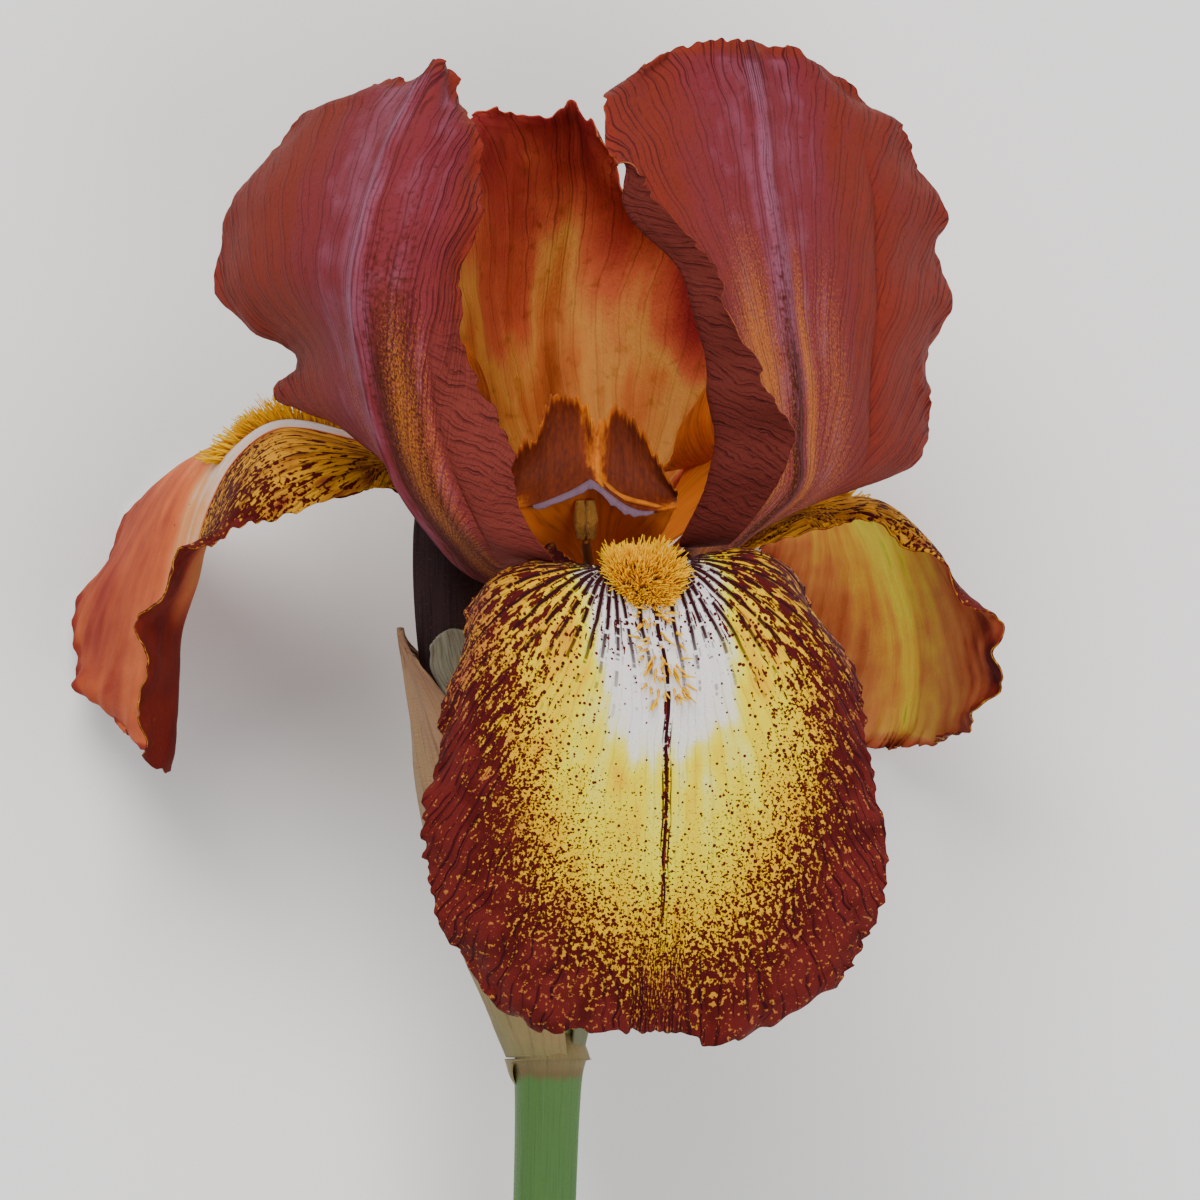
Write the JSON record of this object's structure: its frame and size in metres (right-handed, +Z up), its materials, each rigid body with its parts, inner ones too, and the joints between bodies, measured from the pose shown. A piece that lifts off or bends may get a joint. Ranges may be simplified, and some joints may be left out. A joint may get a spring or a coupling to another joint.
{
  "type": "bearded iris flower",
  "caption": "Bearded iris bloom cut with its stem and lying face up: ruffled standards, drooping falls with bushy beards, crested style arms, papery spathe and a dark closed bud.",
  "frame": {"origin": "centre of the box round the flower, at the height of the surface it lies on", "axes": "+Y along the stem towards the standards, +X to the right of the flower's face, +Z up, out of the face"},
  "size_m": [0.1172, 0.217, 0.09],
  "materials": {
    "fall": "velvety, maroon speckled over yellow and white",
    "standard": "satin, dusky brick red with fine veins",
    "beard": "golden hairs",
    "style": "satin, amber brown",
    "filament": "satin amber",
    "anther": "powdery ochre",
    "stem": "waxy grey green",
    "ovary": "satin green",
    "bud": "satin dark purple",
    "bract": "dry papery tan",
    "bract_thin": "thin translucent grey"
  },
  "bodies": {
    "root": {"fall_front": "fall", "fall_left": "fall", "fall_right": "fall", "standard_left": "standard", "standard_right": "standard", "standard_back": "standard", "beard_front": "beard", "beard_left": "beard", "beard_right": "beard", "style": "style", "filament_front": "filament", "filament_left": "filament", "filament_right": "filament", "anther_front": "anther", "anther_left": "anther", "anther_right": "anther", "stem": "stem", "ovary_tube": "ovary", "bud": "bud", "bract_outer": "bract", "bract_inner": "bract_thin"}
  },
  "joints": []
}
